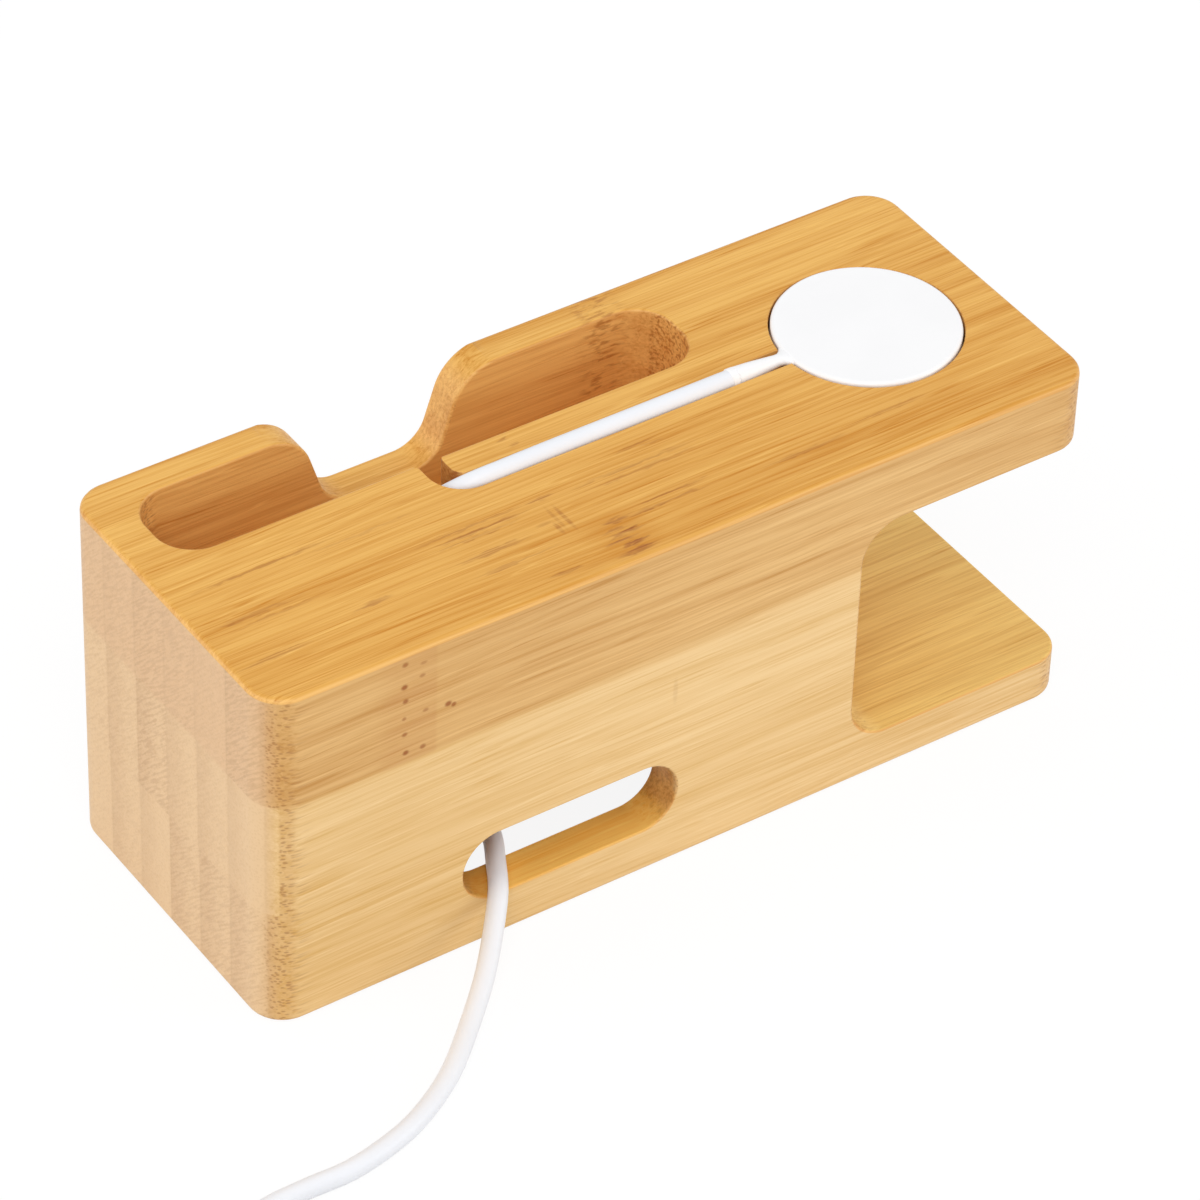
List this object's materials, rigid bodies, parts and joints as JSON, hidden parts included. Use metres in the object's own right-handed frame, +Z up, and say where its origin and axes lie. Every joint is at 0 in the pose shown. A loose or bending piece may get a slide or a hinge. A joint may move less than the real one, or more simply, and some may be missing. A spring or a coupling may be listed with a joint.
{
  "type": "watch charging stand",
  "caption": "Glued bamboo block with a phone slot and an arm over a strap gap; a round charging puck lifts out of the arm and its cable runs in a groove and out at the rear.",
  "frame": {"origin": "middle of the block's underside, on the surface that it stands on", "axes": "+Z up, +X along the block to the arm with the puck, +Y to the side that the phone faces"},
  "size_m": [0.202, 0.1432, 0.0613],
  "materials": {
    "bamboo": "satin oiled bamboo, fibres along the length",
    "white_shell": "smooth white plastic",
    "white_cable": "satin white cable jacket",
    "circuit_board": "green solder mask",
    "ferrite": "dull dark grey",
    "copper": "enamelled copper wire",
    "magnet": "nickel plated",
    "tie": "black woven tape",
    "steel": "nickel plated sheet",
    "gold": "gold plated"
  },
  "bodies": {
    "stand": {"bamboo_ply_1": "bamboo", "bamboo_ply_2": "bamboo", "bamboo_ply_3": "bamboo", "bamboo_ply_4": "bamboo", "bamboo_ply_5": "bamboo", "bamboo_ply_6": "bamboo", "bamboo_ply_7": "bamboo", "cable_groove_run": "white_cable", "cable_free_run": "white_cable", "cable_coil": "white_cable", "coil_tie_1": "tie", "coil_tie_2": "tie", "plug_sleeve": "white_shell", "plug_body": "white_shell", "plug_shell": "steel", "plug_tongue": "white_shell", "plug_contact_1": "gold", "plug_contact_2": "gold", "plug_contact_3": "gold", "plug_contact_4": "gold"},
    "charging_puck": {"puck_cover": "white_shell", "puck_shell": "white_shell", "puck_board": "circuit_board", "puck_ferrite": "ferrite", "puck_winding": "copper", "puck_magnet": "magnet", "puck_sleeve": "white_shell", "puck_sleeve_ring": "white_shell"}
  },
  "joints": [
    {"name": "puck_lift", "type": "slide", "parent": "stand", "child": "charging_puck", "axis": [0, 0, 1], "range_m": [0, 0.012], "deforming": ["cable_groove_run"]}
  ]
}
